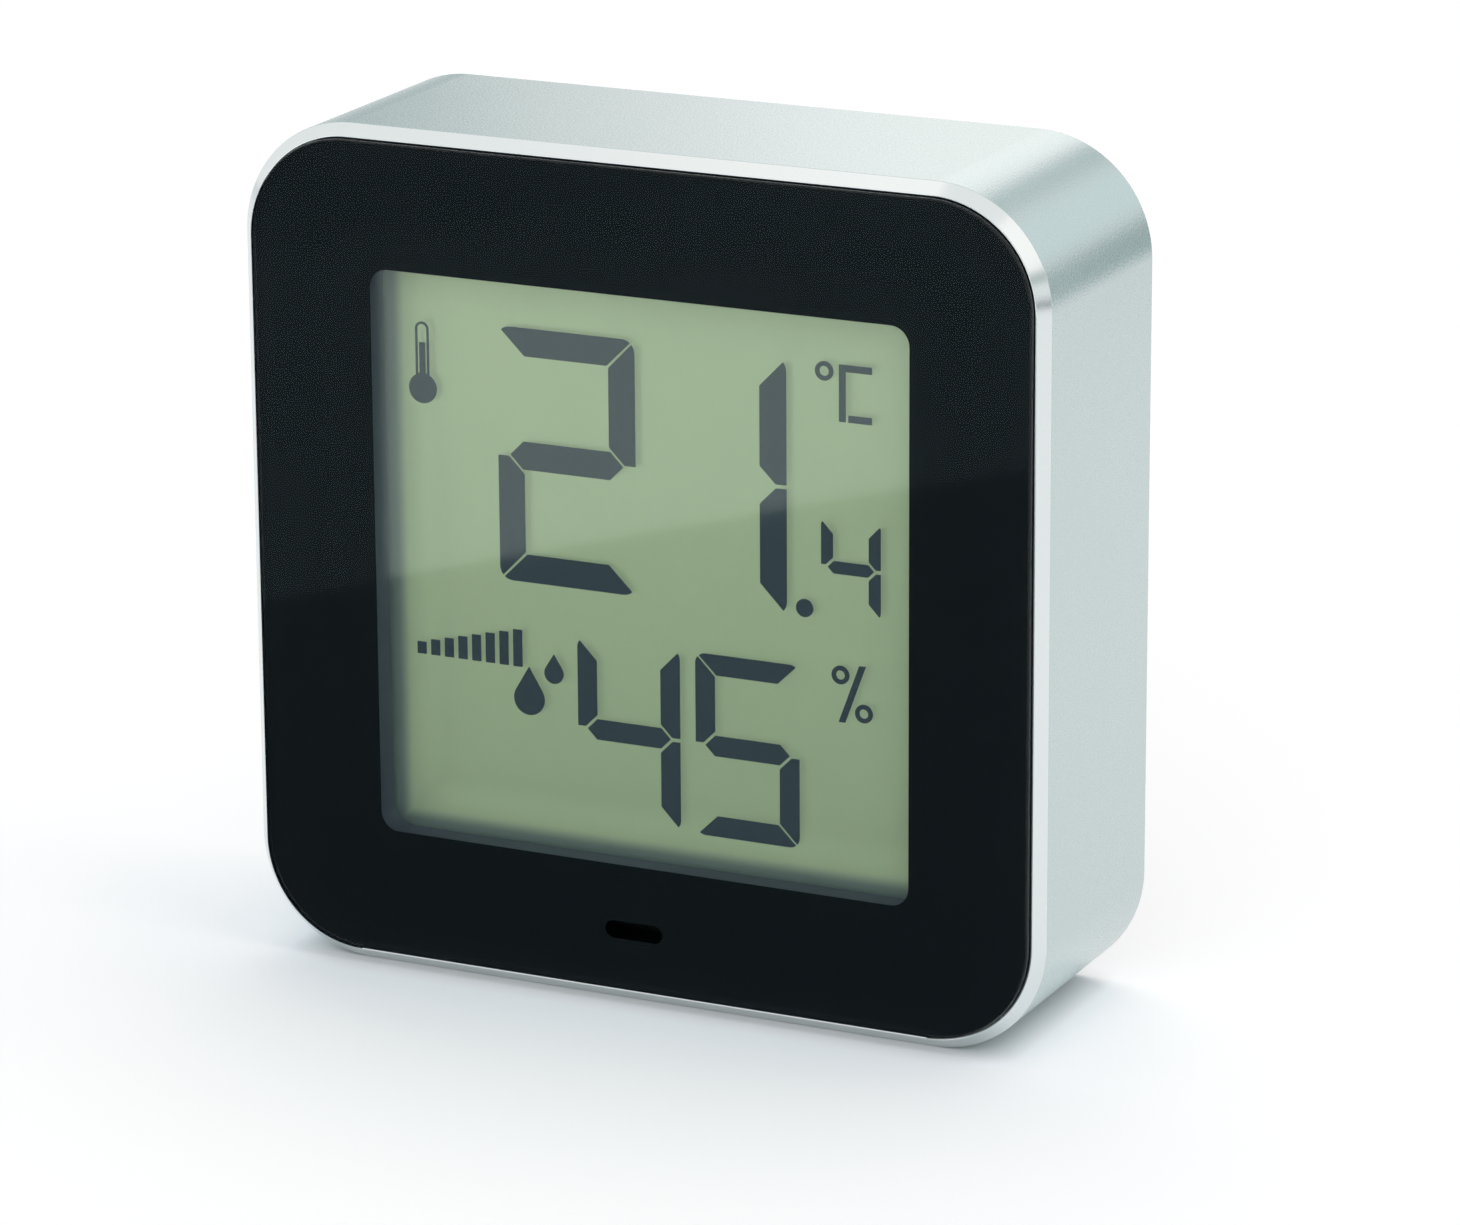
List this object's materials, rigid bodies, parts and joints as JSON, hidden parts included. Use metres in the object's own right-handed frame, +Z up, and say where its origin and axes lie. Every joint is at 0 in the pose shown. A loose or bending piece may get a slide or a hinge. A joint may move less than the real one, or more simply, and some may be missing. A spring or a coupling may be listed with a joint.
{
  "type": "temperature humidity sensor",
  "caption": "Square room thermometer and hygrometer: satin metal band, dark glossy face with a display window, and a rear cover with a battery door, a unit key and a keyhole.",
  "frame": {"origin": "under the middle of the base, at the bottom centre of the bounding box", "axes": "+X to the right as seen from the front, +Y to the back, +Z up"},
  "size_m": [0.07, 0.0218, 0.07],
  "materials": {
    "band_metal": "fine blasted and clear anodised, with a bright cut bevel",
    "lens_clear": "clear, polished, hard coated",
    "mask_ink": "dark print seen through the lens",
    "black_film": "adhesive film",
    "black_plastic": "fine moulded texture",
    "lcd_film": "polarising film",
    "lcd_glass": "clear",
    "lcd_sealant": "epoxy seal",
    "lcd_ink": "lit strokes of the display",
    "lcd_ground": "green-grey reflecting film",
    "white_foam": "foam",
    "contact_rubber": "striped conductive rubber",
    "board_laminate": "solder mask over glass laminate",
    "epoxy": "cured resin",
    "ceramic": "chip parts",
    "plated_steel": "nickel plated",
    "black_steel": "blackened",
    "cell_can": "printed sleeve, plain"
  },
  "bodies": {
    "case": {"frame_band": "band_metal", "front_lens": "lens_clear", "mask_print": "mask_ink", "lens_tape": "black_film", "display_chassis": "black_plastic", "lcd_front_polariser": "lcd_film", "lcd_front_glass": "lcd_glass", "lcd_seal": "lcd_sealant", "lcd_segments": "lcd_ink", "lcd_rear_glass": "lcd_glass", "lcd_reflector": "lcd_ground", "lcd_foam_pad": "white_foam", "zebra_strip": "contact_rubber", "main_board": "board_laminate", "display_chip": "epoxy", "timing_crystal": "plated_steel", "board_parts": "ceramic", "humidity_sensor": "epoxy", "thermistor": "epoxy", "tact_switch": "black_plastic", "board_screws": "plated_steel", "battery_cell": "cell_can", "battery_spring": "plated_steel", "negative_contact": "plated_steel", "positive_contact": "plated_steel", "rear_cover": "black_plastic", "rear_screws": "black_steel"},
    "unit_key": {"unit_button": "black_plastic", "tact_plunger": "black_plastic"},
    "door": {"battery_door": "black_plastic"}
  },
  "joints": [
    {"name": "key_press", "type": "slide", "parent": "case", "child": "unit_key", "axis": [0, -1, 0], "range_m": [0, 0.0004], "stiffness_N_per_m": 800},
    {"name": "door_hinge", "type": "hinge", "parent": "case", "child": "door", "pos_m": [0, 0.0097, 0.0126], "axis": [-1, 0, 0], "range_deg": [0, 90]}
  ]
}
